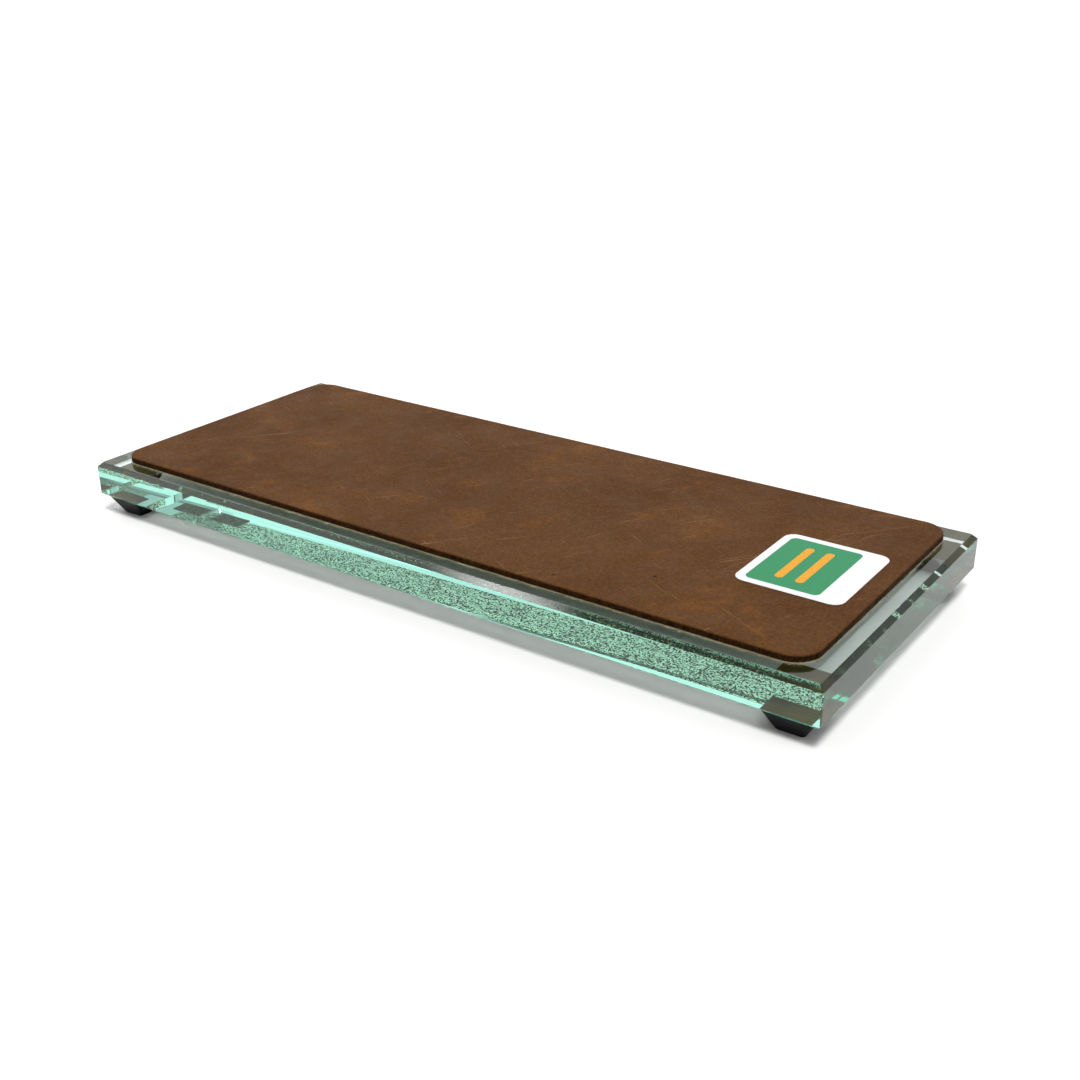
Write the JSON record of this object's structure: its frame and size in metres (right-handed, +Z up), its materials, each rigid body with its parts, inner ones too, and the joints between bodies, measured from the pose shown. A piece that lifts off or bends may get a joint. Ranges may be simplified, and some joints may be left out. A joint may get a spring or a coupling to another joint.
{
  "type": "leather strop",
  "caption": "Bench strop: an oiled leather pad taped on a thick bevelled glass plate that stands on rubber feet.",
  "frame": {"origin": "on the surface that the feet stand on, under the middle of the plate", "axes": "+X along the plate towards the label end, +Y across the plate, +Z up out of the leather"},
  "size_m": [0.234, 0.096, 0.0184],
  "materials": {
    "glass": "clear green-tinted float glass, polished edges",
    "leather": "oiled pull-up brown, smooth grain side, raw cut edge",
    "leather_adhesive": "clear double-sided tape",
    "label": "printed vinyl sticker, green panel with a white border",
    "foot_rubber": "moulded black, satin",
    "foot_adhesive": "self-adhesive backing, tan"
  },
  "bodies": {
    "root": {"glass_plate": "glass", "leather_tape_front": "leather_adhesive", "leather_tape_middle": "leather_adhesive", "leather_tape_back": "leather_adhesive", "leather_pad": "leather", "label": "label", "foot_front_left": "foot_rubber", "foot_front_right": "foot_rubber", "foot_back_left": "foot_rubber", "foot_back_right": "foot_rubber", "foot_adhesive_front_left": "foot_adhesive", "foot_adhesive_front_right": "foot_adhesive", "foot_adhesive_back_left": "foot_adhesive", "foot_adhesive_back_right": "foot_adhesive"}
  },
  "joints": []
}
